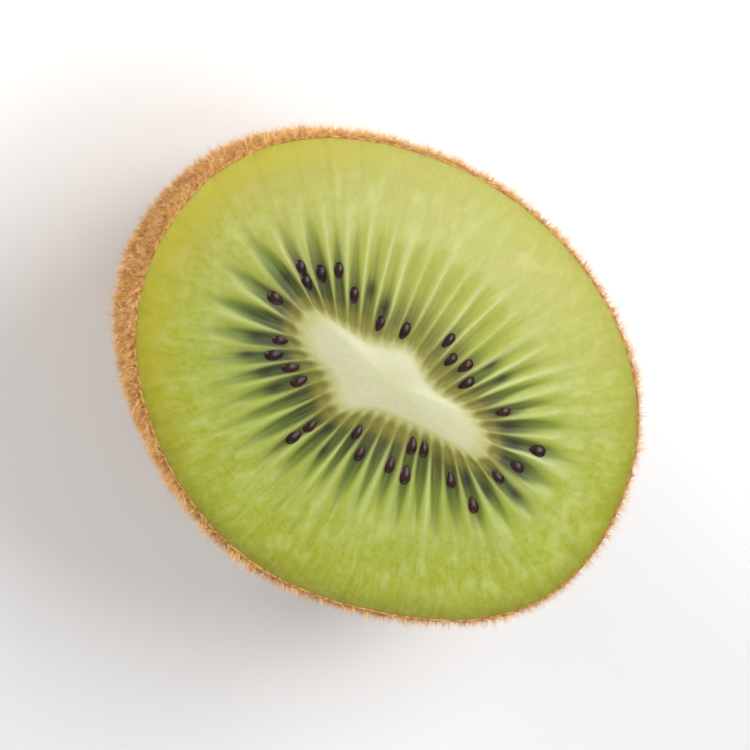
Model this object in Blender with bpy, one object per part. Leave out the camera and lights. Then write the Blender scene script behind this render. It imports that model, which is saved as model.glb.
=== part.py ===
"""Half a kiwi fruit, cut across and lying on its skin with the cut face up.

Lengths are in metres. The origin is the middle of the small flat spot that the half rests on,
+Z points out of the cut face, and +X runs along the longer way of its oval.

A point of the cut face has two measures. Its turn goes from 0 to 1 round the core, and its reach
goes from 0 at the core's edge to 1 at the skin.
"""
import math
import random

import bmesh
import bpy
import numpy as np
from mathutils import Matrix, Vector

CIRCLE = 2 * math.pi

# The half fruit
HEIGHT = 0.0320  # from the flat spot up to the cut
FACE_LONG = 0.0290  # from the middle of the flesh to its edge, the longer way
FACE_WIDE = 0.0228  # and the shorter way
RIND = 0.00035  # thickness of the skin
RIM_DROP = 0.0008  # how far the face rolls off where it meets the skin
RIM_START = 0.84  # the reach at which it starts to
RIM_POWER = 2.2  # how sharply it does
OUTLINE_WAVES = ((3, 0.005, 46), (4, 0.009, -93), (5, 0.005, -110), (6, 0.005, -172))
DOME_POWER = 2.3  # 2 is an ellipsoid, and more is fuller
REST_SPOT = 0.25  # size of the flat spot, against the whole face
DENTS = ((2, 0.007, 30, 1.7), (3, 0.005, 200, 2.6), (5, 0.003, 95, 3.4))

# The pale core: its edge above and below the long axis is a base height with swells on it
CORE_LONG = 0.0121
CORE_MIDDLE = 0.0005
CORE_BLUNTNESS = 4
CORE_ABOVE = (0.00175, ((-0.0004, 0.0020, 0.0032), (0.0085, 0.0008, 0.0035)))
CORE_BELOW = (
    0.00125,
    ((-0.0020, 0.0019, 0.0070), (-0.0029, 0.0020, 0.0023), (-0.0095, 0.0010, 0.0030)),
)
CORE_RISE = 0.00025  # the firm core stands up in the middle

# The locules, the dark wells round the core, with a pale ray between each two
LOCULES = 43
WELL_LONG, WELL_WIDE = 0.0147, 0.0062  # the oval along which they are evenly spaced
WELL_DEPTH = 0.00030
WELL_FOOT = 0.07  # reach at which a well is at its full depth
WELL_SHOULDER, WELL_TIP = 0.36, 0.60  # reaches between which it runs out

# The seeds. WELL_SEEDS has a word for each well, from +X round by +Y. A letter is a seed, A next to
# the core and F furthest out. Small letters are seeds so deep in the flesh that they make no bump.
SEED_LONG, SEED_WIDE, SEED_THICK = 0.0020, 0.00145, 0.0011
SEED_TAPER = 0.22  # how much narrower the end towards the core is
SEED_SINK = 0.00022  # the middle of a seed lies this far below the face
SEED_REACHES = {letter: 0.10 + 0.05 * step for step, letter in enumerate("ABCDEF")}
WELL_SEEDS = (
    "D Fc c C . e Be C B C . . A . Ac d C E D EC d C "
    ". Be Cf Be Be . . EC b e B D . D AD A a C Fc d Cf"
)
REACH_SCATTER = 0.015
SIDE_SCATTER = 0.35  # in columns
SEED_DRAW = 7

# The mesh
COLUMNS = 3 * LOCULES
FINE_STEPS = 4000  # round an outline that is then cut into even steps
CORE_RINGS = (0.5, 1.0)
FACE_RINGS = (0.07, 0.21, 0.36, 0.48, 0.60, 0.74, 0.86, 0.94, 1.0)
DOME_RINGS = 12

# Colour and roughness of each material
FINISHES = {
    "core": ((0.72, 0.71, 0.47), 0.45),
    "flesh": ((0.42, 0.48, 0.10), 0.30),
    "skin": ((0.33, 0.17, 0.055), 0.85),
    "seed": ((0.016, 0.008, 0.009), 0.25),
}
SLOTS = list(FINISHES)


def ease(value, start, end):
    """0 before start and 1 after end, and smooth between them."""
    part = min(max((value - start) / (end - start), 0.0), 1.0)
    return part * part * (3 - 2 * part)


def evenly_round(loop, count):
    """Points at even steps along a closed loop, from its first point."""
    closed = np.vstack([loop, loop[:1]])
    steps = np.hypot(*np.diff(closed, axis=0).T)
    run = np.concatenate([[0.0], np.cumsum(steps)])
    places = np.arange(count) / count * run[-1]
    return np.column_stack([np.interp(places, run, closed[:, axis]) for axis in (0, 1)])


def core_edge(count):
    """The core's outline: an oval with blunt ends and uneven sides."""
    angles = np.linspace(0, CIRCLE, FINE_STEPS, endpoint=False)
    power = 2 / CORE_BLUNTNESS
    across = np.sign(np.cos(angles)) * np.abs(np.cos(angles)) ** power
    side = np.sign(np.sin(angles)) * np.abs(np.sin(angles)) ** power
    x = CORE_MIDDLE + CORE_LONG * across
    heights = []
    for base, swells in (CORE_ABOVE, CORE_BELOW):
        height = base + sum(size * np.exp(-(((x - at) / width) ** 2)) for at, size, width in swells)
        heights.append(height)
    y = side * np.where(side > 0, heights[0], heights[1])
    return evenly_round(np.column_stack([x, y]), count)


def well_angles(count):
    """The angle of each column: even steps along the oval of the wells, stretched to the skin."""
    angles = np.linspace(0, CIRCLE, FINE_STEPS, endpoint=False)
    oval = np.column_stack([WELL_LONG * np.cos(angles), WELL_WIDE * np.sin(angles)])
    points = evenly_round(oval, count)
    return np.arctan2(points[:, 1] / WELL_WIDE, points[:, 0] / WELL_LONG)


def outline(angle, extra=0.0, unevenness=1.0):
    """The edge of the flesh, or of what lies a little outside it."""
    waves = sum(size * math.cos(n * angle - math.radians(at)) for n, size, at in OUTLINE_WAVES)
    scale = 1 + unevenness * waves
    return Vector((
        (FACE_LONG + extra) * scale * math.cos(angle),
        (FACE_WIDE + extra) * scale * math.sin(angle),
    ))


CORE = [Vector(point) for point in core_edge(COLUMNS)]
ANGLES = [float(angle) for angle in well_angles(COLUMNS)]
EDGE = [outline(angle) for angle in ANGLES]
LAST_SLOPE = math.acos(REST_SPOT ** (DOME_POWER / 2))  # of the dome, at the flat spot
FULL_DEPTH = HEIGHT / math.sin(LAST_SLOPE) ** (2 / DOME_POWER)  # of the dome without that spot


def on_face(column, reach):
    """The point of the cut at a column, which may lie between two, and a reach."""
    first = math.floor(column)
    share = column - first
    core = CORE[first % COLUMNS].lerp(CORE[(first + 1) % COLUMNS], share)
    edge = EDGE[first % COLUMNS].lerp(EDGE[(first + 1) % COLUMNS], share)
    return core.lerp(edge, reach)


def face_height(column, reach):
    """Rays are ridges and wells are grooves between them, and the rim rolls off."""
    into_well = 0.5 - 0.5 * math.cos(CIRCLE * column * LOCULES / COLUMNS)
    well = ease(reach, 0, WELL_FOOT) * (1 - ease(reach, WELL_SHOULDER, WELL_TIP))
    roll = max(reach - RIM_START, 0) / (1 - RIM_START)
    return HEIGHT - WELL_DEPTH * into_well * well - RIM_DROP * roll**RIM_POWER


def core_ring(share):
    """A ring inside the core, which is raised in the middle."""
    height = HEIGHT + CORE_RISE * (1 - share**2)
    middle = Vector((CORE_MIDDLE, 0))
    return [(*middle.lerp(point, share), height) for point in CORE]


def face_ring(reach):
    """A ring of the flesh round the core."""
    return [(*on_face(column, reach), face_height(column, reach)) for column in range(COLUMNS)]


def dome_ring(slope):
    """A ring of the skin, where slope goes from 0 at the rim to a right angle at the pole."""
    inward = math.cos(slope) ** (2 / DOME_POWER)
    depth = FULL_DEPTH * math.sin(slope) ** (2 / DOME_POWER)
    ring = []
    for angle in ANGLES:
        dents = sum(
            size * math.sin(n * angle + math.radians(at) + speed * slope) * math.sin(2 * slope)
            for n, size, at, speed in DENTS
        )
        point = outline(angle, RIND, math.cos(slope)) * inward * (1 + dents)
        ring.append((*point, max(HEIGHT - depth, 0.0)))
    return ring


def dome_slopes():
    """Slopes from the skin's cut edge, which lies as low as the rim, to the flat spot."""
    first = math.asin((RIM_DROP / FULL_DEPTH) ** (DOME_POWER / 2))
    return [first + (LAST_SLOPE - first) * step / DOME_RINGS for step in range(DOME_RINGS + 1)]


def material(name, colour, roughness):
    shade = bpy.data.materials.new(name)
    shade.use_nodes = True
    shader = shade.node_tree.nodes["Principled BSDF"]
    shader.inputs["Base Color"].default_value = (*colour, 1)
    shader.inputs["Roughness"].default_value = roughness
    shade.diffuse_color = (*colour, 1)
    return shade


def make_object(name, mesh, materials, collection):
    for shade in materials:
        mesh.materials.append(shade)
    made = bpy.data.objects.new(name, mesh)
    collection.objects.link(made)
    return made


def make_body():
    """The half fruit, ring by ring from the core over the cut and down the skin."""
    core, flesh, skin = SLOTS.index("core"), SLOTS.index("flesh"), SLOTS.index("skin")
    rings = [(core_ring(share), core) for share in CORE_RINGS]
    rings += [(face_ring(reach), flesh) for reach in FACE_RINGS]
    rings += [(dome_ring(slope), skin) for slope in dome_slopes()]
    bm = bmesh.new()
    bmesh.ops.create_circle(bm, segments=COLUMNS, radius=CORE_LONG)
    verts = list(bm.verts)
    edges = list(bm.edges)
    for vert, place in zip(verts, rings[0][0]):
        vert.co = place
    bmesh.ops.contextual_create(bm, geom=edges)
    for places, slot in rings[1:]:
        grown = bmesh.ops.extrude_edge_only(bm, edges=edges)["geom"]
        edges = [item for item in grown if isinstance(item, bmesh.types.BMEdge)]
        verts = [item for item in grown if isinstance(item, bmesh.types.BMVert)]
        for vert, place in zip(verts, places):
            vert.co = place
        for face in (item for item in grown if isinstance(item, bmesh.types.BMFace)):
            face.material_index = slot
    spot = bmesh.ops.contextual_create(bm, geom=edges)["faces"]
    spot[0].material_index = skin
    bmesh.ops.recalc_face_normals(bm, faces=bm.faces)
    mesh = bpy.data.meshes.new("kiwi_half")
    bm.to_mesh(mesh)
    bm.free()
    return mesh


def seed_places():
    """A column and a reach, a little scattered, for each seed that stands out of the cut."""
    draw = random.Random(SEED_DRAW)
    places = []
    for well, word in enumerate(WELL_SEEDS.split()):
        for letter in word:
            reach_off, side_off = draw.uniform(-1, 1), draw.uniform(-1, 1)
            if letter in SEED_REACHES:
                column = (well + 0.5) * COLUMNS / LOCULES + side_off * SIDE_SCATTER
                places.append((column, SEED_REACHES[letter] + reach_off * REACH_SCATTER))
    return places


def make_seed(column, reach):
    """A drop-shaped seed that points at the core, sunk into its well."""
    place = on_face(column, reach)
    outward = on_face(column, 1.0) - place
    bm = bmesh.new()
    bmesh.ops.create_uvsphere(bm, u_segments=6, v_segments=4, radius=0.5)
    bmesh.ops.rotate(bm, verts=bm.verts, matrix=Matrix.Rotation(math.pi / 2, 3, "Y"))
    for vert in bm.verts:
        width = 1 + 2 * SEED_TAPER * vert.co.x
        vert.co.y *= width
        vert.co.z *= width
    bmesh.ops.scale(bm, verts=bm.verts, vec=(SEED_LONG, SEED_WIDE, SEED_THICK))
    turn = math.atan2(outward.y, outward.x)
    bmesh.ops.rotate(bm, verts=bm.verts, matrix=Matrix.Rotation(turn, 3, "Z"))
    height = face_height(column, reach) - SEED_SINK
    bmesh.ops.translate(bm, verts=bm.verts, vec=(*place, height))
    for face in bm.faces:
        face.material_index = SLOTS.index("seed")
    mesh = bpy.data.meshes.new("seed")
    bm.to_mesh(mesh)
    bm.free()
    return mesh


def join_seeds(body, seeds):
    """One union with all the seeds, applied, after which the loose ones are removed."""
    union = body.modifiers.new("seeds", "BOOLEAN")
    union.operation = "UNION"
    union.operand_type = "COLLECTION"
    union.collection = seeds
    union.solver = "EXACT"
    evaluated = body.evaluated_get(bpy.context.evaluated_depsgraph_get())
    body.data = bpy.data.meshes.new_from_object(evaluated)
    body.modifiers.clear()
    for seed in list(seeds.objects):
        bpy.data.objects.remove(seed)
    bpy.data.collections.remove(seeds)


def main():
    for old in list(bpy.data.objects):
        bpy.data.objects.remove(old)
    fruit = bpy.data.collections.new("kiwi_fruit_half")
    seeds = bpy.data.collections.new("loose_seeds")
    for collection in (fruit, seeds):
        bpy.context.scene.collection.children.link(collection)
    materials = [material(name, *finish) for name, finish in FINISHES.items()]
    body = make_object("kiwi_half", make_body(), materials, fruit)
    for column, reach in seed_places():
        make_object("seed", make_seed(column, reach), materials, seeds)
    join_seeds(body, seeds)
    body.data.shade_smooth()
    body.data.set_sharp_from_angle(angle=math.radians(40))


main()
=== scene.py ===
"""Half a kiwi fruit lying on its skin: wet green flesh, a pale core, dark seeds and a fuzzy rind.

Metres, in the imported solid's frame: +Z out of the cut face, +X along its longer way, and the
half rests at Z 0. A point of the face has a turn, counted in wells from +X round by +Y, and a
reach, which is 0 at the core's edge, 1 at the rind and below 0 inside the core.
"""
import math
import random

import bmesh
import bpy
import numpy as np
from mathutils import Matrix, Vector


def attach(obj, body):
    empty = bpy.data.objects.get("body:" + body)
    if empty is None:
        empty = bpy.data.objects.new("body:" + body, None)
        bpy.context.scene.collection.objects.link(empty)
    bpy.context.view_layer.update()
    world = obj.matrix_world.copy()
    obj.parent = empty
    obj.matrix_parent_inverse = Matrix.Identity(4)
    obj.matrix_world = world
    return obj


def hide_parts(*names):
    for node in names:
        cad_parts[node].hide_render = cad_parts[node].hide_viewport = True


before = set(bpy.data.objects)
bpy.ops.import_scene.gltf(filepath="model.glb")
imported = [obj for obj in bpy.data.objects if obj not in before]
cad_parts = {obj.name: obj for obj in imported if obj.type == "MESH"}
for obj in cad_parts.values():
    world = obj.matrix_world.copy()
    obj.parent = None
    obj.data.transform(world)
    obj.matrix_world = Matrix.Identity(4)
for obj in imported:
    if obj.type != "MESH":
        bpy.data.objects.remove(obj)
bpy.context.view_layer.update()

CIRCLE = 2 * math.pi
MM = 0.001

# The half fruit, as in the solid
HEIGHT = 32.0 * MM
FACE_LONG, FACE_WIDE = 29.0 * MM, 22.8 * MM
RIND = 0.35 * MM
RIM_DROP, RIM_START, RIM_POWER = 0.8 * MM, 0.84, 2.2
OUTLINE_WAVES = ((3, 0.005, 46), (4, 0.009, -93), (5, 0.005, -110), (6, 0.005, -172))
DOME_POWER = 2.3
REST_SPOT = 0.25  # times the cut's size
DENTS = ((2, 0.007, 30, 1.7), (3, 0.005, 200, 2.6), (5, 0.003, 95, 3.4))
LAST_SLOPE = math.acos(REST_SPOT ** (DOME_POWER / 2))
FULL_DEPTH = HEIGHT / math.sin(LAST_SLOPE) ** (2 / DOME_POWER)
FIRST_SLOPE = math.asin((RIM_DROP / FULL_DEPTH) ** (DOME_POWER / 2))

# The core
CORE_LONG, CORE_MIDDLE, CORE_BLUNTNESS = 12.1 * MM, 0.5 * MM, 4
CORE_ABOVE = (1.75, ((-0.4, 2.0, 3.2), (8.5, 0.8, 3.5)))
CORE_BELOW = (1.25, ((-2.0, 1.9, 7.0), (-2.9, 2.0, 2.3), (-9.5, 1.0, 3.0)))
CORE_RISE = 0.25 * MM

# The wells, and the pale rays between them
WELLS = 43
WELL_LONG, WELL_WIDE = 14.7 * MM, 6.2 * MM
WELL_DEPTH = 0.30 * MM
# A groove is at its full depth from the foot to the shoulder, and ends at the tip: all reaches
WELL_FOOT, WELL_SHOULDER, WELL_TIP = 0.07, 0.36, 0.60
RAY_RISE = 0.05 * MM
WELL_NARROWS = 0.12  # the reach from which a well's dark green narrows to its tip
TIPS = (0.49, 0.61)  # reaches
HALF_WIDTHS = (0.41, 0.47)  # in wells, as the rays' widths and sway are
DARKNESS = (0.86, 1.0)
DEEP_FROM = 15  # from this well on and half of the way round, wells are longer and darker
LIT_WELL, LIT_SPREAD = 37.5, 3  # the wells at the lit end
RAY_BRIGHTNESS, FAINTEST_RAY = (0.15, 0.72), 0.08
RAY_ENDS = (0.58, 0.92)  # reaches
RAY_SWAY = 0.22
RAY_WIDTHS = (0.75, 1.65)  # times the width below
RAY_WIDE, RAY_WIDENS = 0.050, 0.17  # at the core's edge, and what it gains by the rind
CORE_SCALLOPS = 0.024  # how far the core runs out along each ray, as a reach
VARIETY_DRAW = 11

# The seeds, a word for each well: A is next to the core and F furthest out, and small letters
# are seeds so deep in the flesh that only their shade shows
SEED_SIZE = (2.0 * MM, 1.45 * MM, 1.1 * MM)
SEED_TAPER = 0.22
SEED_SINK = 0.22 * MM
SEED_REACHES = {letter: 0.10 + 0.05 * step for step, letter in enumerate("ABCDEF")}
WELL_SEEDS = (
    "D Fc c C . e Be C B C . . A . Ac d C E D EC d C "
    ". Be Cf Be Be . . EC b e B D . D AD A a C Fc d Cf"
)
REACH_SCATTER = 0.015
SIDE_SCATTER = 0.35 / 3  # in wells
SEED_DRAW = 7
SEED_GROWTH = (0.94, 1.10)  # times the size above
SEED_SWING = 9  # degrees off its well's own way
SEED_SHAPE_DRAW = 31
SUNKEN_SHADE = (1.1 * MM, 0.50 * MM)  # half length and half width
# How far the painted shade round each standing seed spreads: half length and half width
BESIDE_SHADE = (2.2 * MM, 0.75 * MM)

# The skin
SKIN = 0.20 * MM  # thickness of the shell; the flesh fills the rest of the rind
LIP = SKIN + 0.05 * MM  # the shell reaches this far in, just into the flesh
LIP_RISE = 0.05 * MM
LIP_RAGGED = 0.10 * MM
LIP_SHARES = (0.12, 0.35, 0.65, 0.88)  # the rows of the lip, on the way out
SPOT_GAP = 0.12 * MM  # the flattened fuzz under the half
SCAR_SIZE = 2.6 * MM
SCAR_DIMPLE = 0.27 * MM
DIMPLE_WIDE = 1.7 * SCAR_SIZE
SCAR_THICK = 0.12 * MM
SCAR_GAP = 0.02 * MM
SCAR_WARP = 0.03 * MM
SCAR_STEPS = ((0.45, 0.10), (0.35, -0.13), (0.55, 0.07))  # inset and rise of each ledge, in mm

# The meshes
WELL_COLUMNS = 16
COLUMNS = WELLS * WELL_COLUMNS
RIND_COLUMNS = 360
ROWS_CORE, ROWS_WELLS, ROWS_FLESH, ROWS_UNDER = 14, 62, 30, 12
WELLS_END = 0.62  # the reach at which the rows get wider
ROWS_CLOSE_UP = 1.3  # above 1, the flesh's last rows close up at the rind
ROWS_INNER, ROWS_OUTER = 12, 90
SCAR_SIDES = 48
SEED_SIDES, SEED_RINGS = 20, 14
WELD = 0.001 * MM

# The fuzz, by kind. Hairs stand in tufts, whose tips draw together. Lengths, spreads and radii are
# in mm and angles in degrees. A lean is from upright, a curl is a part of the length, and the
# bends are the places along a hair where it can curl. The slope is the lowest on the skin that
# a kind grows at, and 90 is the whole skin.
FUZZ = {
    "fuzz_under": dict(tufts=8000, hairs=6, spread=0.20, length=(0.5, 0.8), radius=0.024,
                       lean=(35, 62), curl=(0, 0), bends=(), slope=90, swirl=0.9, seed=21),
    "fuzz_down": dict(tufts=9600, hairs=5, spread=0.13, length=(0.8, 1.3), radius=0.022,
                      lean=(22, 58), curl=(0, 0), bends=(), slope=90, swirl=0.9, seed=22),
    "fuzz_hairs": dict(tufts=6500, hairs=3, spread=0.10, length=(1.1, 1.8), radius=0.026,
                       lean=(15, 62), curl=(-0.2, 0.6), bends=(0.5,), slope=90, swirl=0.9, seed=23),
    "fuzz_rim": dict(tufts=5600, hairs=3, spread=0.08, length=(0.9, 1.65), radius=0.023,
                     lean=(10, 96), curl=(-0.2, 0.3), bends=(0.5,), slope=8, swirl=0.3, seed=24),
}
FUZZ_MAP = "OFBake"
TONES = 64
TONE_SCATTER = 6
FOOT = 0.06 * MM  # hairs start this deep in the skin
TUFT_PINCH = 0.70
TUFT_TURN, HAIR_TURN, HAIR_TILT = 0.9, 0.18, 5  # scatter: two in radians and one in degrees
HAIR_THICKNESS = (0.75, 1.25)
SKIN_CELLS = 360, 180  # round and down, for spreading the tufts evenly


def ease(value, start, end):
    """0 before start and 1 after end, and smooth between them."""
    part = np.clip((value - start) / (end - start), 0.0, 1.0)
    return part * part * (3 - 2 * part)


def unit(vectors):
    """The vectors, made a unit long."""
    return vectors / np.linalg.norm(vectors, axis=-1, keepdims=True)


def evenly_round(loop, count):
    """Points at even steps along a closed loop, from its first point and back to it."""
    closed = np.vstack([loop, loop[:1]])
    steps = np.hypot(*np.diff(closed, axis=0).T)
    run = np.concatenate([[0.0], np.cumsum(steps)])
    places = np.arange(count + 1) / count * run[-1]
    return np.column_stack([np.interp(places, run, closed[:, axis]) for axis in (0, 1)])


def core_edge(count):
    """The core's outline: an oval with blunt ends and uneven sides."""
    angles = np.linspace(0, CIRCLE, 4000, endpoint=False)
    power = 2 / CORE_BLUNTNESS
    across = np.sign(np.cos(angles)) * np.abs(np.cos(angles)) ** power
    side = np.sign(np.sin(angles)) * np.abs(np.sin(angles)) ** power
    x = (CORE_MIDDLE + CORE_LONG * across) / MM
    heights = []
    for base, swells in (CORE_ABOVE, CORE_BELOW):
        height = base + sum(size * np.exp(-(((x - at) / width) ** 2)) for at, size, width in swells)
        heights.append(height)
    y = side * np.where(side > 0, heights[0], heights[1])
    return evenly_round(np.column_stack([x, y]) * MM, count)


def well_angles(count):
    """The angle of each column: even steps along the oval of the wells, stretched to the skin."""
    angles = np.linspace(0, CIRCLE, 4000, endpoint=False)
    oval = np.column_stack([WELL_LONG * np.cos(angles), WELL_WIDE * np.sin(angles)])
    points = evenly_round(oval, count)
    return np.arctan2(points[:, 1] / WELL_WIDE, points[:, 0] / WELL_LONG)


def outline(angle, extra=0.0, unevenness=1.0):
    """The edge of the flesh, or of what lies a little outside it."""
    waves = sum(size * np.cos(n * angle - math.radians(at)) for n, size, at in OUTLINE_WAVES)
    scale = 1 + unevenness * waves
    long = (FACE_LONG + extra) * scale * np.cos(angle)
    wide = (FACE_WIDE + extra) * scale * np.sin(angle)
    return np.stack([long, wide], -1)


FINE = 40  # steps a well, for looking places up
CORE = core_edge(WELLS * FINE)
EDGE = outline(well_angles(WELLS * FINE), RIND - SKIN)


def on_face(turn, reach):
    """The place on the cut, seen from above, for arrays of turns and reaches."""
    step = np.mod(turn, WELLS) * FINE
    steps = np.arange(WELLS * FINE + 1)
    core = np.stack([np.interp(step, steps, CORE[:, axis]) for axis in (0, 1)], -1)
    edge = np.stack([np.interp(step, steps, EDGE[:, axis]) for axis in (0, 1)], -1)
    middle = np.array([CORE_MIDDLE, 0.0])
    inside = middle + (core - middle) * (1 + np.minimum(reach, 0))[..., None]
    return inside + (edge - core) * np.maximum(reach, 0)[..., None]


def dome(angle, slope, extra=0.0, lowest=0.0):
    """Places on the skin, for arrays of angles and of slopes from 0 at the rim to the pole."""
    inward = np.maximum(np.cos(slope), 0) ** (2 / DOME_POWER)
    depth = FULL_DEPTH * np.sin(slope) ** (2 / DOME_POWER)
    dents = sum(
        size * np.sin(n * angle + math.radians(at) + speed * slope) * np.sin(2 * slope)
        for n, size, at, speed in DENTS
    )
    place = outline(angle, RIND + extra, np.cos(slope)) * (inward * (1 + dents))[..., None]
    height = np.maximum(HEIGHT - depth, lowest)
    return np.concatenate([place, height[..., None]], -1)


def seed_places(surface):
    """Turn and reach of the seeds that stand out of the cut, or of those that are sunk in it."""
    draw = random.Random(SEED_DRAW)
    places = []
    for well, word in enumerate(WELL_SEEDS.split()):
        for letter in word:
            reach_off, side_off = draw.uniform(-1, 1), draw.uniform(-1, 1)
            if letter != "." and letter.isupper() == surface:
                reach = SEED_REACHES[letter.upper()] + reach_off * REACH_SCATTER
                places.append((well + 0.5 + side_off * SIDE_SCATTER, reach))
    return places


class Variety:
    """How each well and each ray differs from the next, from one seeded draw."""

    def __init__(self):
        draw = np.random.default_rng(VARIETY_DRAW)
        wells = np.arange(WELLS)
        around = CIRCLE * (wells + 0.5) / WELLS
        upper, ends = np.sin(around), np.cos(around) ** 2
        deep = np.clip(np.sin(CIRCLE * (wells - DEEP_FROM) / WELLS), 0, 1) ** 2
        lit = np.exp(-(((wells - LIT_WELL) / LIT_SPREAD) ** 2))
        # The wells on the +Y side are paler and shorter, partly their own flesh and partly painted sheen,
        # and a few at the lit end are paler as painted light
        self.pale = np.clip(upper, 0, 1) ** 3 + 0.25 * lit
        self.tip = draw.uniform(*TIPS, WELLS) - 0.12 * self.pale + 0.09 * deep + 0.06 * ends
        self.width = draw.uniform(*HALF_WIDTHS, WELLS) + 0.02 * deep
        self.dark = draw.uniform(*DARKNESS, WELLS) * (1 - 0.68 * self.pale)
        bright = draw.uniform(*RAY_BRIGHTNESS, WELLS) + 0.15 * self.pale - 0.12 * deep - 0.08 * ends
        self.ray_bright = np.maximum(bright, FAINTEST_RAY)
        self.ray_end = draw.uniform(*RAY_ENDS, WELLS)
        self.sway = draw.uniform(-RAY_SWAY, RAY_SWAY, WELLS)
        self.sway_phase = draw.uniform(0, CIRCLE, WELLS)
        self.ray_wide = RAY_WIDE * draw.uniform(*RAY_WIDTHS, WELLS)

    def ray_shift(self, ray, reach):
        """How far a ray has swayed aside at a reach, in wells."""
        ray = np.mod(ray, WELLS)
        return self.sway[ray] * np.sin(5 * reach + self.sway_phase[ray]) * ease(reach, 0.0, 0.35)

    def across(self, turn, reach):
        """The well, the ray nearest to the point, how far off it is, and the place across."""
        well = np.floor(turn).astype(int) % WELLS
        phase = turn - np.floor(turn)
        before = phase - self.ray_shift(well, reach)
        after = 1 + self.ray_shift(well + 1, reach) - phase
        nearest = np.where(before < after, well, (well + 1) % WELLS)
        return well, nearest, np.minimum(before, after), before / (before + after)


VARIETY = Variety()


def face_marks(turn, reach):
    """Masks from 0 to 1 over the face: the core, the wells and the rays."""
    well, ray, off_ray, across = VARIETY.across(turn, reach)
    foot = np.sqrt(np.clip((reach + 0.004) / 0.05, 0, 1))
    run = np.clip((reach - WELL_NARROWS) / (VARIETY.tip[well] - WELL_NARROWS), 0, 1)
    half_width = VARIETY.width[well] * foot * (1 - run**1.55)
    soft = 1 + 0.8 * run
    inside = 1 - ease(np.abs(across - 0.5), half_width - 0.11 * soft, half_width + 0.07 * soft)
    # The wells' paleness is partly painted sheen and light: it lightens their green and ends them sooner
    pale = VARIETY.pale[well]
    fall = 1 - (0.26 + 0.56 * pale) * ease(reach, 0.24 - 0.18 * pale, 0.54 - 0.22 * pale)
    scallop = CORE_SCALLOPS * np.abs(np.cos(math.pi * across)) ** 3 - 0.006
    wide = VARIETY.ray_wide[ray] * (1 + RAY_WIDENS / RAY_WIDE * np.clip(reach, 0, 1))
    thin = np.exp(-((off_ray / wide) ** 2))
    fade = ease(reach, -0.02, 0.30) * (1 - ease(reach, 0.38, VARIETY.ray_end[ray]))
    return {
        "core": 1 - ease(reach, scallop - 0.018, scallop + 0.048),
        "well": inside * VARIETY.dark[well] * fall * (reach > -0.01),
        "ray": thin * fade * VARIETY.ray_bright[ray],
    }


def near_seeds(place, places, long, wide):
    """A soft mask round the given seeds, long along their wells and wide across."""
    mask = np.zeros(place.shape[:-1])
    for turn, reach in places:
        here = on_face(np.array(turn), np.array(reach))
        way = unit(on_face(np.array(turn), np.array(1.0)) - here)
        off = place - here
        along = off @ way
        aside = off @ np.array([-way[1], way[0]])
        mask = np.maximum(mask, np.exp(-((along / long) ** 2) - (aside / wide) ** 2))
    return mask


def face_height(turn, reach, ray):
    """Wells are grooves, rays stand up a little, the core is raised and the rim rolls off."""
    into_well = 0.5 - 0.5 * np.cos(CIRCLE * turn)
    groove = ease(reach, 0, WELL_FOOT) * (1 - ease(reach, WELL_SHOULDER, WELL_TIP))
    roll = np.maximum(reach - RIM_START, 0) / (1 - RIM_START)
    rise = CORE_RISE * (1 - (1 + np.minimum(reach, 0)) ** 2)
    height = HEIGHT + rise - WELL_DEPTH * into_well * groove - RIM_DROP * roll**RIM_POWER
    return height + RAY_RISE * ray


# The pieces


def piece_from(bm, name):
    """An object made of a bmesh, which is used up."""
    mesh = bpy.data.meshes.new(name)
    bm.to_mesh(mesh)
    bm.free()
    made = bpy.data.objects.new(name, mesh)
    bpy.context.scene.collection.objects.link(made)
    return made


def rolled(name, places, spread, marks):
    """A closed piece from rows of places: a grid is rolled up and welded along its seam and at
    its poles. It gets a map from spread and a mesh attribute from each of the marks."""
    rows, columns = places.shape[:2]
    bm = bmesh.new()
    uv = bm.loops.layers.uv.new("UVMap")
    bmesh.ops.create_grid(bm, x_segments=columns - 1, y_segments=rows - 1, size=1)
    flat = spread.reshape(-1, 2).tolist()
    for face in bm.faces:
        face.smooth = True
        for loop in face.loops:
            loop[uv].uv = flat[loop.vert.index]
    for vert, place in zip(bm.verts, places.reshape(-1, 3).tolist()):
        vert.co = place
    for mark, values in marks.items():
        layer = bm.verts.layers.float.new(mark)
        for vert, value in zip(bm.verts, values.ravel().tolist()):
            vert[layer] = value
    bmesh.ops.remove_doubles(bm, verts=bm.verts, dist=WELD)
    bmesh.ops.recalc_face_normals(bm, faces=bm.faces)
    return piece_from(bm, name)


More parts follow.
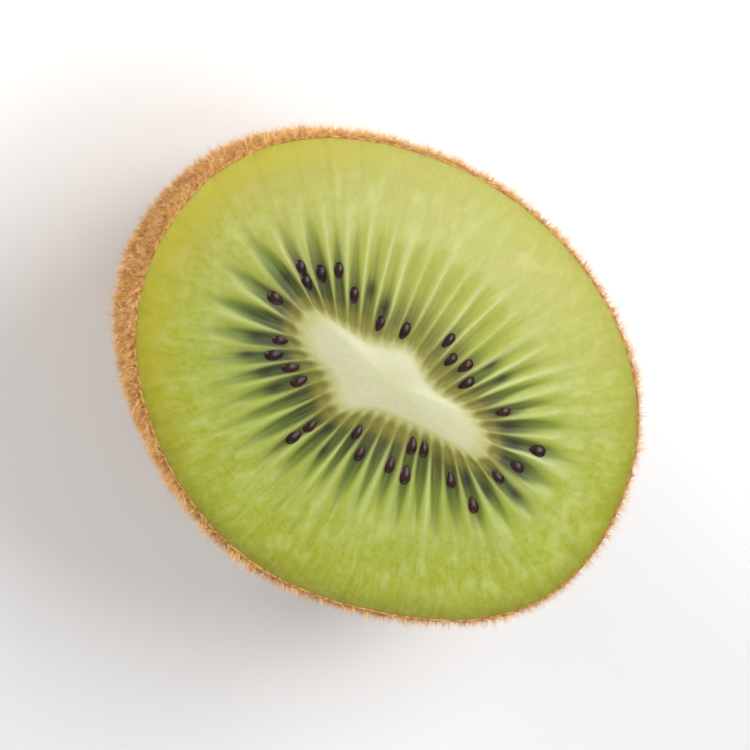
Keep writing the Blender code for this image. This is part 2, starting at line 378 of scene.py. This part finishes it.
def make_flesh():
    """The flesh and core: the cut face, and the rounded body under it inside the rind."""
    reaches = np.concatenate([
        np.linspace(-1, 0, ROWS_CORE, endpoint=False),
        np.linspace(0, WELLS_END, ROWS_WELLS, endpoint=False),
        1 - (1 - WELLS_END) * np.linspace(1, 0, ROWS_FLESH) ** ROWS_CLOSE_UP,
    ])
    turn, reach = np.meshgrid(np.arange(COLUMNS + 1) / WELL_COLUMNS, reaches)
    marks = face_marks(turn, reach)
    place = on_face(turn, reach)
    marks["sunken"] = near_seeds(place, seed_places(False), *SUNKEN_SHADE)
    # The beside mark is painted shade round each seed that stands out of the cut
    marks["beside"] = near_seeds(place, seed_places(True), *BESIDE_SHADE)
    marks["reach"] = reach
    face = np.concatenate([place, face_height(turn, reach, marks["ray"])[..., None]], -1)
    slopes = np.linspace(FIRST_SLOPE, math.pi / 2, ROWS_UNDER + 1)[1:]
    angle, slope = np.meshgrid(well_angles(COLUMNS), slopes)
    places = np.concatenate([face, dome(angle, slope, -SKIN, lowest=SPOT_GAP + RIND)])
    places[0] = places[0].mean(0)
    rim = {name: np.repeat(values[-1:], ROWS_UNDER, 0) for name, values in marks.items()}
    marks = {name: np.concatenate([values, rim[name]]) for name, values in marks.items()}
    down = np.concatenate([reach, 1 + slope])
    spread = np.stack([np.vstack([turn, turn[:ROWS_UNDER]]) / WELLS, (down + 1) / 4], -1)
    return rolled("flesh", places, spread, marks)


def raggedness(angles):
    """How uneven the knife left the lip of the skin, at some angles round it: 1 on average."""
    return 1 + 0.35 * np.sin(23 * angles + 1) + 0.3 * np.sin(41 * angles) * np.sin(7 * angles)


def make_rind():
    """The thin skin: a shell with a rounded lip round the cut, and a dimple for the stem."""
    angles = well_angles(RIND_COLUMNS)
    inner = np.linspace(math.pi / 2, FIRST_SLOPE, ROWS_INNER)
    outer = FIRST_SLOPE + (math.pi / 2 - FIRST_SLOPE) * np.linspace(0, 1, ROWS_OUTER) ** 0.9
    rows = [dome(angles, np.full_like(angles, slope), -LIP) for slope in inner]
    ragged = raggedness(angles)
    inward = -LIP - LIP_RAGGED * np.clip(ragged + 0.5 * np.sin(67 * angles) - 1, 0, 1)
    for share in LIP_SHARES:
        row = dome(angles, np.full_like(angles, FIRST_SLOPE), inward * (1 - share))
        row[:, 2] += LIP_RISE * math.sin(math.pi * share) * ragged
        rows.append(row)
    lip = np.zeros(len(rows) + len(outer))
    lip[len(inner) - 1:len(rows) + 1] = 1
    rows += [dome(angles, np.full_like(angles, slope)) for slope in outer]
    places = np.stack(rows)
    off = np.hypot(places[..., 0], places[..., 1])
    floor = SPOT_GAP + (SCAR_DIMPLE - SPOT_GAP) * (1 - ease(off, SCAR_SIZE, DIMPLE_WIDE))
    floor[:len(inner)] += LIP
    places[..., 2] = np.maximum(places[..., 2], floor)
    around, down = np.meshgrid(np.linspace(0, 1, len(angles)), np.linspace(0, 1, len(rows)))
    marks = {"lip": np.repeat(lip[:, None], len(angles), 1)}
    return rolled("rind", places, np.stack([around, down], -1), marks)


def make_stem_scar():
    """The woody button where the stalk was, in its dimple under the half."""
    bm = bmesh.new()
    bmesh.ops.create_circle(bm, cap_ends=True, segments=SCAR_SIDES, radius=SCAR_SIZE)
    middle = bm.faces[:]
    for inset, rise in SCAR_STEPS:
        bmesh.ops.inset_region(bm, faces=middle, thickness=inset * MM, depth=rise * MM)
    bmesh.ops.solidify(bm, geom=bm.faces[:], thickness=SCAR_THICK)
    bmesh.ops.recalc_face_normals(bm, faces=bm.faces)
    for vert in bm.verts:
        angle = math.atan2(vert.co.y, vert.co.x)
        off = math.hypot(vert.co.x, vert.co.y) / SCAR_SIZE
        vert.co.xy *= 1 + 0.07 * math.sin(5 * angle + 1) + 0.04 * math.sin(11 * angle)
        vert.co.z += SCAR_WARP * off * math.sin(7 * angle + 2)
    bmesh.ops.rotate(bm, verts=bm.verts, matrix=Matrix.Rotation(math.pi, 3, "X"))
    bmesh.ops.translate(bm, verts=bm.verts, vec=(0, 0, SCAR_DIMPLE - SCAR_GAP))
    return piece_from(bm, "stem_scar")


def make_seeds():
    """Plump drop-shaped seeds that point at the core, sunk into their wells."""
    draw = random.Random(SEED_SHAPE_DRAW)
    bm = bmesh.new()
    for turn, reach in seed_places(True):
        here = np.array([turn]), np.array([reach])
        place = on_face(*here)[0]
        way = on_face(here[0], np.array([1.0]))[0] - place
        height = face_height(*here, 0)[0] - SEED_SINK
        heading = math.atan2(way[1], way[0]) + math.radians(draw.uniform(-SEED_SWING, SEED_SWING))
        size = Vector(SEED_SIZE) * draw.uniform(*SEED_GROWTH)
        seed = bmesh.ops.create_uvsphere(
            bm, u_segments=SEED_SIDES, v_segments=SEED_RINGS, radius=0.5)["verts"]
        bmesh.ops.rotate(bm, verts=seed, matrix=Matrix.Rotation(math.pi / 2, 3, "Y"))
        for vert in seed:
            width = 1 + 2 * SEED_TAPER * vert.co.x
            vert.co.y *= width
            vert.co.z *= width
        bmesh.ops.scale(bm, verts=seed, vec=size)
        bmesh.ops.rotate(bm, verts=seed, matrix=Matrix.Rotation(heading, 3, "Z"))
        bmesh.ops.translate(bm, verts=seed, vec=(*place, height))
    for face in bm.faces:
        face.smooth = True
    return piece_from(bm, "seeds")


def hair_shape(bends):
    """A closed three-sided needle, a unit long and with a foot a unit in radius, as arrays."""
    bm = bmesh.new()
    bmesh.ops.create_cone(bm, cap_ends=True, segments=3, radius1=1, radius2=0, depth=1)
    bmesh.ops.translate(bm, verts=bm.verts, vec=(0, 0, 0.5))
    bmesh.ops.remove_doubles(bm, verts=bm.verts, dist=0.001)
    for bend in bends:
        everything = bm.verts[:] + bm.edges[:] + bm.faces[:]
        bmesh.ops.bisect_plane(bm, geom=everything, plane_co=(0, 0, bend), plane_no=(0, 0, 1))
    bmesh.ops.triangulate(bm, faces=bm.faces)
    bm.verts.index_update()
    corners = np.array([vert.co[:] for vert in bm.verts])
    faces = np.array([[vert.index for vert in face.verts] for face in bm.faces])
    bm.free()
    return corners, faces


def over_the_skin(count, lowest, draw):
    """Places spread evenly over the skin, with the ways out of it, around it and up it."""
    angles = np.linspace(0, CIRCLE, SKIN_CELLS[0] + 1)
    slopes = np.linspace(FIRST_SLOPE, math.radians(lowest), SKIN_CELLS[1] + 1)
    grid = dome(*np.meshgrid(angles, slopes), lowest=SPOT_GAP)
    down, around = np.diff(grid, axis=0)[:, :-1], np.diff(grid, axis=1)[:-1]
    size = np.linalg.norm(np.cross(around, down), axis=-1).ravel()
    cell = np.searchsorted(np.cumsum(size) / size.sum(), draw.random(count))
    row, column = np.divmod(np.minimum(cell, size.size - 1), len(angles) - 1)
    angle = angles[column] + draw.random(count) * angles[1]
    slope = slopes[row] + draw.random(count) * (slopes[1] - slopes[0])
    place = dome(angle, slope, lowest=SPOT_GAP)
    step = 0.001
    around = unit(dome(angle + step, slope, lowest=SPOT_GAP) - place)
    up = unit(dome(angle, slope - step, lowest=SPOT_GAP) - place)
    clear = np.hypot(place[:, 0], place[:, 1]) > SCAR_SIZE
    if lowest < 90:  # thins out downwards
        clear &= draw.random(count) > ease(slope, FIRST_SLOPE, slopes[-1])
    return place[clear], unit(np.cross(around, up))[clear], around[clear], up[clear]


def make_fuzz(name, tufts, hairs, spread, length, radius, lean, curl, bends, slope, swirl, seed):
    """Tufts of hairs on the skin, each leaning and curling its own way, joined into one piece."""
    draw = np.random.default_rng(seed)
    place, out, around, up = over_the_skin(tufts, slope, draw)
    tufts = len(place)
    count = tufts * hairs
    x, y, z = (place / MM).T
    ruffle = np.sin(1.9 * x + 0.8 * z) + np.sin(2.2 * y + 1.4 * z + 2) + np.sin(1.5 * z - 1.1 * x)
    heading = math.pi / 2 + swirl * ruffle + draw.normal(0, TUFT_TURN, tufts)
    tilt = draw.uniform(*lean, tufts)
    tone = draw.integers(0, TONES, tufts)
    place, out, around, up = (np.repeat(each, hairs, 0) for each in (place, out, around, up))
    heading = np.repeat(heading, hairs) + draw.normal(0, HAIR_TURN, count)
    tilt = np.radians(np.repeat(tilt, hairs) + draw.normal(0, HAIR_TILT, count))[:, None]
    aside = around * np.cos(heading)[:, None] + up * np.sin(heading)[:, None]
    way = out * np.cos(tilt) + aside * np.sin(tilt)
    bend = aside * np.cos(tilt) - out * np.sin(tilt)
    beside = np.cross(way, bend)
    east, north = spread * MM * draw.normal(0, 1, (2, count, 1))
    off = (around * east + up * north)[:, None]
    long = (MM * draw.uniform(*length, count))[:, None, None]
    curve = draw.uniform(*curl, count)[:, None, None]
    thick = (MM * radius * draw.uniform(*HAIR_THICKNESS, count))[:, None, None]
    corners, faces = hair_shape(bends)
    run = corners[None, :, 2:3]
    points = (place - FOOT * out)[:, None] + off * (1 - TUFT_PINCH * run)
    points += long * (run * way[:, None] + curve * run**2 * bend[:, None])
    points += thick * (corners[None, :, 0:1] * bend[:, None] + corners[None, :, 1:2] * beside[:, None])
    points[..., 2] = np.maximum(points[..., 2], 0.01 * MM)  # just clear of the floor
    mesh = bpy.data.meshes.new(name)
    joined = faces[None] + (np.arange(count) * len(corners))[:, None, None]
    mesh.from_pydata(points.reshape(-1, 3).tolist(), [], joined.reshape(-1, 3).tolist())
    # Each tone has a strip of the map, and a hair runs up its strip from foot to tip
    scatter = draw.integers(-TONE_SCATTER, TONE_SCATTER + 1, count)
    tone = np.clip(np.repeat(tone, hairs) + scatter, 0, TONES - 1)
    across, beyond, height = corners[np.tile(faces.ravel(), count)].T
    strip = (np.repeat(tone, faces.size) + 0.5 + 0.3 * across + 0.1 * beyond) / TONES
    spread = np.stack([strip, 0.04 + 0.9 * height + 0.03 * beyond * (1 - height)], -1)
    map_layer = mesh.uv_layers.new(name=FUZZ_MAP)
    map_layer.uv.foreach_set("vector", spread.astype(np.float32).ravel())
    made = bpy.data.objects.new(name, mesh)
    bpy.context.scene.collection.objects.link(made)
    return made


# Materials


def srgb(red, green, blue):
    """A colour as it is seen on a screen, from 0 to 255, made linear."""
    return (*(((part / 255 + 0.055) / 1.055) ** 2.4 for part in (red, green, blue)), 1)


def plug(tree, socket, value):
    """Links a socket to another one, or sets it to a plain value."""
    if isinstance(value, bpy.types.NodeSocket):
        tree.links.new(value, socket)
    else:
        socket.default_value = value


def add(tree, kind, settings=(), **inputs):
    """A shader node with its settings, and its inputs by name."""
    made = tree.nodes.new("ShaderNode" + kind)
    for name, value in settings:
        setattr(made, name, value)
    for name, value in inputs.items():
        plug(tree, made.inputs[name.replace("_", " ")], value)
    return made


def maths(tree, operation, *values):
    """A maths node worked on the values."""
    made = add(tree, "Math", [("operation", operation)])
    for socket, value in zip(made.inputs, values):
        plug(tree, socket, value)
    return made.outputs[0]


def times(tree, first, *others):
    """The values multiplied together."""
    for other in others:
        first = maths(tree, "MULTIPLY", first, other)
    return first


def mix(tree, factor, first, second):
    """The first colour turned into the second by a factor from 0 to 1."""
    made = add(tree, "Mix", [("data_type", "RGBA")])
    for socket, value in zip((made.inputs[0], made.inputs[6], made.inputs[7]), (factor, first, second)):
        plug(tree, socket, value)
    return made.outputs[2]


def between(tree, value, start, end, low=0.0, high=1.0):
    """Low where the value is at start, high where it is at end, and smooth between them."""
    made = add(tree, "MapRange", [("interpolation_type", "SMOOTHSTEP")], Value=value,
               From_Min=start, From_Max=end, To_Min=low, To_Max=high)
    return made.outputs[0]


def ramp(tree, value, *stops):
    """A colour for the value, from stops of a place and a colour each."""
    made = add(tree, "ValToRGB", Fac=value)
    elements = made.color_ramp.elements
    elements[1].position, elements[1].color = stops[-1]
    elements[0].position, elements[0].color = stops[0]
    for at, colour in stops[1:-1]:
        elements.new(at).color = colour
    return made.outputs["Color"]


def mark(tree, name):
    """One of the marks that the mesh holds."""
    return add(tree, "Attribute", [("attribute_name", name)]).outputs["Fac"]


def new_group(name, inputs, outputs):
    """A node group, its inputs by name, and its output node."""
    group = bpy.data.node_groups.new(name, "ShaderNodeTree")
    for way, sockets in (("INPUT", inputs), ("OUTPUT", outputs)):
        for label, kind in sockets.items():
            group.interface.new_socket(name=label, in_out=way, socket_type="NodeSocket" + kind)
    given = group.nodes.new("NodeGroupInput").outputs
    return group, given, group.nodes.new("NodeGroupOutput")


def mottle_group():
    """Uneven blotches and fine grains, each of its own colour, and the grain's height for a bump."""
    inputs = {"Place": "Vector", "Colour": "Color", "Blotch Colour": "Color", "Grain Colour": "Color",
              "Blotch Scale": "Float", "Grain Scale": "Float", "Blotches": "Float", "Grains": "Float"}
    tree, given, result = new_group("mottle", inputs, {"Colour": "Color", "Grain": "Float"})
    blotch = add(tree, "TexNoise", Vector=given["Place"], Scale=given["Blotch Scale"], Detail=2.0)
    grain = add(tree, "TexNoise", Vector=given["Place"], Scale=given["Grain Scale"], Detail=2.0,
                Roughness=0.6)
    patches = between(tree, blotch.outputs[0], 0.36, 0.64)
    specks = between(tree, grain.outputs[0], 0.46, 0.66)
    patches = times(tree, patches, given["Blotches"])
    colour = mix(tree, patches, given["Colour"], given["Blotch Colour"])
    colour = mix(tree, times(tree, specks, given["Grains"]), colour, given["Grain Colour"])
    plug(tree, result.inputs["Colour"], colour)
    plug(tree, result.inputs["Grain"], grain.outputs[0])
    return tree


def streaks_group():
    """Uneven streaks that run outwards from a middle, with no seam where the turn starts again."""
    inputs = {"Turn": "Float", "Reach": "Float", "Count": "Float", "Run": "Float", "Detail": "Float"}
    tree, given, result = new_group("streaks", inputs, {"Streaks": "Float"})
    angle = times(tree, given["Turn"], CIRCLE)
    radius = maths(tree, "DIVIDE", given["Count"], CIRCLE)
    east = times(tree, maths(tree, "COSINE", angle), radius)
    north = times(tree, maths(tree, "SINE", angle), radius)
    along = times(tree, given["Reach"], given["Run"])
    place = add(tree, "CombineXYZ", X=east, Y=north, Z=along).outputs[0]
    noise = add(tree, "TexNoise", Vector=place, Scale=1.0, Detail=given["Detail"])
    plug(tree, result.inputs["Streaks"], noise.outputs[0])
    return tree


MOTTLE = mottle_group()
STREAKS = streaks_group()


def mottled(tree, place, colour, blotch, grain, scales, amounts):
    """The mottle group placed in a material: its colour and the height of its grain."""
    made = add(tree, "Group", [("node_tree", MOTTLE)], Place=place, Colour=colour,
               Blotch_Colour=blotch, Grain_Colour=grain, Blotch_Scale=scales[0],
               Grain_Scale=scales[1], Blotches=amounts[0], Grains=amounts[1])
    return made.outputs["Colour"], made.outputs["Grain"]


def streaks(tree, turn, reach, count, run, detail):
    """The streaks group placed in a material: a value round 0.5."""
    made = add(tree, "Group", [("node_tree", STREAKS)], Turn=turn, Reach=reach, Count=count,
               Run=run, Detail=detail)
    return made.outputs["Streaks"]


def new_material(name, **sockets):
    """A material, its node tree and its shader, whose plain sockets are set by name."""
    made = bpy.data.materials.new(name)
    made.use_nodes = True
    shader = made.node_tree.nodes["Principled BSDF"]
    for socket, value in sockets.items():
        shader.inputs[socket.replace("_", " ")].default_value = value
    return made, made.node_tree, shader


def bump(tree, shader, height, strength, distance):
    """Relief on a shader's surface, from a height that changes over it."""
    made = add(tree, "Bump", Height=height, Strength=strength, Distance=distance)
    tree.links.new(made.outputs[0], shader.inputs["Normal"])


# The greens by reach, then the other colours of the cut
GROUND = (
    (0.00, srgb(148, 143, 72)),
    (0.12, srgb(126, 126, 62)),
    (0.30, srgb(144, 152, 62)),
    (0.55, srgb(149, 158, 54)),
    (0.80, srgb(150, 156, 37)),
    (0.93, srgb(146, 149, 32)),
    (0.98, srgb(140, 137, 28)),
    (1.00, srgb(150, 130, 44)),
)
WELL_GREEN = (
    (0.00, srgb(146, 140, 58)),
    (0.07, srgb(128, 123, 48)),
    (0.13, srgb(60, 58, 20)),
    (0.22, srgb(45, 58, 14)),
    (0.33, srgb(56, 79, 17)),
    (0.45, srgb(80, 104, 25)),
    (0.60, srgb(122, 138, 40)),
)
BLOTCH_GREEN = srgb(156, 174, 58)
RIPE_AND_SHEEN_YELLOW = srgb(180, 172, 92)
WARM_GLOW_YELLOW = srgb(176, 162, 34)
PALE_GRAIN = srgb(206, 210, 134)
FIBRE_GREEN = srgb(188, 195, 104)
WISP_GREEN = srgb(202, 211, 140)
WELL_FIBRE = srgb(112, 126, 54)
PALE_RAY = srgb(186, 197, 138)
OLIVE_FOOT = srgb(126, 121, 52)
PAINTED_SEED_SHADE = srgb(42, 46, 26)
SUNKEN_SEED = srgb(36, 36, 22)
CORE_CREAM, CREAM_BLOTCH, CREAM_GRAIN = srgb(191, 190, 153), srgb(184, 184, 139), srgb(198, 198, 164)
CORE_EDGE_GREEN = srgb(174, 173, 110)

# Streaks in the flesh: how many go round, how often each breaks off on the way out, and the detail
FIBRES = (230.0, 3.0, 1.0)
FINE_FIBRES = (620.0, 5.0, 1.0)
STRANDS = (150.0, 2.0, 0.0)
WISPS = (104.0, 8.0, 1.2)

GLOW_DEPTHS = (1.6 * MM, 2.0 * MM, 0.5 * MM)  # how far red, green and blue light spread in the flesh


def flesh_ground(tree, place, turn, reach, fibre):
    """The flesh outside the wells, yellower outwards, yellower and paler towards +Y as riper flesh and
    painted sheen, and yellower at the -X rim as painted warm light, with blotches, grains, pale lines,
    fibres and broken wisps. Gives its colour, and its grain for gloss and relief."""
    spot = add(tree, "SeparateXYZ", Vector=place).outputs
    side = maths(tree, "MULTIPLY_ADD", spot[0], -0.35, spot[1])
    # Partly painted sheen: the flesh turns paler and yellower towards +Y, partly riper flesh and partly
    # the sheen of the light
    riper_and_sheen = times(tree, between(tree, side, -6 * MM, 20 * MM, 0.0, 0.60), between(tree, reach, 0.0, 0.40))
    colour = mix(tree, riper_and_sheen, ramp(tree, reach, *GROUND), RIPE_AND_SHEEN_YELLOW)
    colour, grain = mottled(tree, place, colour, BLOTCH_GREEN, PALE_GRAIN,
                            scales=(190.0, 1300.0), amounts=(0.25, 0.0))
    grains = times(tree, between(tree, grain, 0.42, 0.70), between(tree, reach, 0.35, 0.70), 0.13)
    colour = mix(tree, grains, colour, PALE_GRAIN)
    past_wells = times(tree, between(tree, reach, 0.40, 0.62), between(tree, reach, 0.82, 0.97, 1.0, 0.0))
    off_line = maths(tree, "SUBTRACT", streaks(tree, turn, reach, *STRANDS), 0.5)
    lines = between(tree, maths(tree, "ABSOLUTE", off_line), 0.0, 0.07, 0.16, 0.0)
    colour = mix(tree, times(tree, lines, past_wells), colour, PALE_RAY)
    colour = mix(tree, between(tree, fibre, 0.35, 0.7, 0.0, 0.12), colour, FIBRE_GREEN)
    wisps = between(tree, streaks(tree, turn, reach, *WISPS), 0.47, 0.76, 0.0, 0.27)
    colour = mix(tree, times(tree, wisps, past_wells), colour, WISP_GREEN)
    # Painted warm light: the outer flesh on the -X side is yellowed as if lit through the skin
    painted_warm_glow = between(tree, spot[0], -8 * MM, -26 * MM, 0.0, 0.55)
    painted_warm_glow = times(tree, painted_warm_glow, between(tree, reach, 0.62, 0.95))
    return mix(tree, painted_warm_glow, colour, WARM_GLOW_YELLOW), grain


def wells_and_rays(tree, colour, reach, fibre, fine):
    """The wells laid over the ground, then the painted shade round the standing seeds, the dim sunken
    seeds, the rays and the core's foot.
    """
    streaked = between(tree, fine, 0.42, 0.70, 0.0, 0.30)
    well = mix(tree, streaked, ramp(tree, reach, *WELL_GREEN), WELL_FIBRE)
    inside = times(tree, mark(tree, "well"), between(tree, fibre, 0.25, 0.75, 1.05, 0.80))
    colour = mix(tree, inside, colour, well)
    # Painted shade round the standing seeds, from the beside mark
    colour = mix(tree, times(tree, mark(tree, "beside"), 0.45), colour, PAINTED_SEED_SHADE)
    colour = mix(tree, times(tree, mark(tree, "sunken"), 0.85), colour, SUNKEN_SEED)
    ray = times(tree, mark(tree, "ray"), between(tree, fine, 0.2, 0.6, 0.55, 1.0))
    colour = mix(tree, ray, colour, PALE_RAY)
    return mix(tree, between(tree, reach, 0.06, 0.16, 0.55, 0.0), colour, OLIVE_FOOT)


def core_cream(tree, place, reach):
    """The core: cream, with faint blotches, and greener towards its edge."""
    cream, _ = mottled(tree, place, CORE_CREAM, CREAM_BLOTCH, CREAM_GRAIN,
                       scales=(260.0, 1900.0), amounts=(0.35, 0.08))
    return mix(tree, between(tree, reach, -0.22, 0.03), cream, CORE_EDGE_GREEN)


def flesh_material():
    """Wet flesh: wells and rays over a ground that yellows outwards, round a cream core."""
    made, tree, shader = new_material(
        "kiwi flesh", Subsurface_Weight=0.3, Subsurface_Radius=GLOW_DEPTHS, Subsurface_Scale=1.0,
        IOR=1.37)
    place = add(tree, "TexCoord").outputs["Object"]
    reach = mark(tree, "reach")
    spread = add(tree, "UVMap", [("uv_map", "UVMap")]).outputs[0]
    turn = add(tree, "SeparateXYZ", Vector=spread).outputs[0]
    drift = add(tree, "TexNoise", Vector=place, Scale=260.0, Detail=1.0).outputs[0]
    drift = maths(tree, "SUBTRACT", drift, 0.5)
    swayed = maths(tree, "MULTIPLY_ADD", drift, between(tree, reach, 0.2, 0.9, 0.0, 0.014), turn)
    fibre = streaks(tree, swayed, reach, *FIBRES)
    fine = streaks(tree, swayed, reach, *FINE_FIBRES)

    colour, grain = flesh_ground(tree, place, swayed, reach, fibre)
    colour = wells_and_rays(tree, colour, reach, fibre, fine)
    colour = mix(tree, mark(tree, "core"), colour, core_cream(tree, place, reach))
    tree.links.new(colour, shader.inputs["Base Color"])

    gloss = between(tree, grain, 0.35, 0.70, 0.26, 0.34)
    rough = maths(tree, "MULTIPLY_ADD", mark(tree, "well"), 0.25, gloss)
    rough = maths(tree, "ADD", rough, between(tree, reach, 0.78, 0.92, 0.0, 0.22))
    tree.links.new(rough, shader.inputs["Roughness"])

    combed = times(tree, between(tree, reach, 0.0, 0.2), between(tree, reach, 0.5, 0.9, 1.0, 0.3))
    fibres = times(tree, maths(tree, "ADD", fine, fibre), combed)
    grains = times(tree, grain, between(tree, reach, -0.1, 0.3, 0.35, 0.65))
    bump(tree, shader, maths(tree, "MULTIPLY_ADD", fibres, 0.4, grains), 0.14, 0.1 * MM)
    return made


def rind_material():
    """Brown skin with olive blotches and darker dots, orange-brown where it was cut."""
    made, tree, shader = new_material("kiwi rind", Roughness=0.8)
    place = add(tree, "TexCoord").outputs["Object"]
    colour, grain = mottled(tree, place, srgb(158, 110, 52), srgb(142, 112, 48), srgb(112, 76, 32),
                            scales=(130.0, 1700.0), amounts=(0.6, 0.6))
    cut = mix(tree, between(tree, grain, 0.35, 0.65), srgb(204, 156, 82), srgb(150, 100, 46))
    colour = mix(tree, mark(tree, "lip"), colour, cut)
    tree.links.new(colour, shader.inputs["Base Color"])
    bump(tree, shader, grain, 0.5, 0.2 * MM)
    return made


def seed_material():
    """Dark seeds with a maroon cast, a fine net on their coats and a wet gleam."""
    made, tree, shader = new_material("kiwi seed", IOR=1.38)
    place = add(tree, "TexCoord").outputs["Object"]
    colour, grain = mottled(tree, place, srgb(36, 15, 12), srgb(60, 28, 23), srgb(19, 9, 8),
                            scales=(520.0, 3600.0), amounts=(0.7, 0.5))
    tree.links.new(colour, shader.inputs["Base Color"])
    tree.links.new(between(tree, grain, 0.3, 0.7, 0.26, 0.38), shader.inputs["Roughness"])
    bump(tree, shader, grain, 0.25, 0.08 * MM)
    return made


def scar_material():
    """Dry grey-brown wood, split along its radii."""
    made, tree, shader = new_material("kiwi stem scar", Roughness=0.85)
    place = add(tree, "TexCoord").outputs["Object"]
    turn = add(tree, "TexGradient", [("gradient_type", "RADIAL")], Vector=place).outputs["Fac"]
    reach = add(tree, "VectorMath", [("operation", "LENGTH")], Vector=place).outputs["Value"]
    splits = streaks(tree, turn, maths(tree, "DIVIDE", reach, SCAR_SIZE), 60.0, 2.0, 2.0)
    colour, grain = mottled(tree, place, srgb(128, 100, 70), srgb(96, 72, 48), srgb(62, 45, 32),
                            scales=(900.0, 4000.0), amounts=(0.7, 0.5))
    colour = mix(tree, between(tree, splits, 0.5, 0.62, 0.0, 0.8), colour, srgb(52, 38, 27))
    tree.links.new(colour, shader.inputs["Base Color"])
    bump(tree, shader, maths(tree, "MULTIPLY_ADD", splits, -2.0, grain), 0.7, 0.2 * MM)
    return made


FUZZ_TONES = {
    "fuzz_under": (srgb(172, 118, 50), srgb(216, 160, 80), srgb(234, 184, 104)),
    "fuzz_down": (srgb(204, 148, 74), srgb(240, 190, 112), srgb(252, 214, 144)),
    "fuzz_hairs": (srgb(212, 158, 84), srgb(246, 202, 130), srgb(254, 226, 170)),
    "fuzz_rim": (srgb(214, 160, 88), srgb(238, 192, 118), srgb(252, 220, 156)),
}


def fuzz_material(name):
    """Hairs of several tones, darker at the foot as painted shade among the roots, from each hair's own
    place on its map.
    """
    made, tree, shader = new_material(name.replace("_", " "), Roughness=0.55, Sheen_Weight=0.15)
    spread = add(tree, "UVMap", [("uv_map", FUZZ_MAP)]).outputs[0]
    strip, height = add(tree, "SeparateXYZ", Vector=spread).outputs[:2]
    dark, middle, light = FUZZ_TONES[name]
    tone = ramp(tree, strip, (0.0, dark), (0.5, middle), (1.0, light))
    # Painted shade: each hair darkens towards its foot, which leaves the tips lighter as if lit through
    colour = mix(tree, between(tree, height, 0.0, 0.6, 0.45, 0.0), tone, dark)
    tree.links.new(colour, shader.inputs["Base Color"])
    return made


def dress(piece, material):
    """Gives a piece its material and its slot, on the half's one body."""
    piece.data.materials.append(material)
    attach(piece, "root")


# The room

AIM = Vector((0, 0, 26 * MM))
TILT, TILT_WAY, ROLL = math.radians(18), math.radians(188), math.radians(-37.1)
CAMERA_AWAY = 0.70
VIEW_WIDE = 0.078  # what the picture spans at the aim
SENSOR = 36
FLOOR_REACH = 2.0
ROOM_GLOW = 0.34
LIGHTS = (  # name, way from the aim, distance, size across and power
    ("key", (0.10, 0.55, 0.75), 0.90, 0.50, 0.9),
    ("window", (0.15, 0.72, 0.68), 0.21, 0.16, 0.24),
    ("sheen", (0.28, 0.30, 0.91), 0.17, 0.06, 0.08),
    ("fill", (-0.96, 0.02, 0.26), 0.90, 0.70, 7.5),
    ("back", (0.65, -0.70, 0.30), 0.90, 0.70, 2.2),
)


def make_camera():
    """The photo's view: a little to one side of straight above, and rolled."""
    sideways = Vector((math.cos(TILT_WAY), math.sin(TILT_WAY), 0))
    back = sideways * math.sin(TILT) + Vector((0, 0, math.cos(TILT)))
    along = (Vector((1, 0, 0)) - back * back.x).normalized()
    across = back.cross(along)
    right = along * math.cos(ROLL) - across * math.sin(ROLL)
    up = along * math.sin(ROLL) + across * math.cos(ROLL)
    camera = bpy.data.objects.new("camera", bpy.data.cameras.new("camera"))
    bpy.context.scene.collection.objects.link(camera)
    turn = Matrix((right, up, back)).transposed().to_4x4()
    camera.matrix_world = Matrix.Translation(AIM + back * CAMERA_AWAY) @ turn
    camera.data.sensor_width = SENSOR
    camera.data.lens = SENSOR * CAMERA_AWAY / VIEW_WIDE
    bpy.context.scene.camera = camera


def make_floor():
    """A white floor under the half."""
    bm = bmesh.new()
    bmesh.ops.create_grid(bm, x_segments=1, y_segments=1, size=FLOOR_REACH)
    floor = piece_from(bm, "floor")
    white, _, _ = new_material("floor", Base_Color=(0.9, 0.9, 0.9, 1), Roughness=0.7)
    floor.data.materials.append(white)


def make_light(name, way, away, size, power):
    """A round soft light that faces the aim."""
    place = AIM + Vector(way) * away
    light = bpy.data.lights.new(name, "AREA")
    light.shape = "DISK"
    light.size = size
    light.energy = power
    lamp = bpy.data.objects.new(name, light)
    facing = (place - AIM).to_track_quat("Z", "Y").to_matrix().to_4x4()
    lamp.matrix_world = Matrix.Translation(place) @ facing
    bpy.context.scene.collection.objects.link(lamp)


def make_room():
    """The camera, the floor, the lights and a white sky."""
    make_camera()
    make_floor()
    for light in LIGHTS:
        make_light(*light)
    world = bpy.data.worlds.new("studio")
    world.use_nodes = True
    background = world.node_tree.nodes["Background"]
    background.inputs["Color"].default_value = (1, 1, 1, 1)
    background.inputs["Strength"].default_value = ROOM_GLOW
    bpy.context.scene.world = world
    bpy.context.scene.view_settings.view_transform = "Standard"


flesh = make_flesh()
dress(flesh, flesh_material())
rind = make_rind()
dress(rind, rind_material())
seeds = make_seeds()
dress(seeds, seed_material())
for piece in (flesh, rind, seeds):
    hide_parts("kiwi_half")
dress(make_stem_scar(), scar_material())
for kind, numbers in FUZZ.items():
    dress(make_fuzz(kind, **numbers), fuzz_material(kind))
make_room()
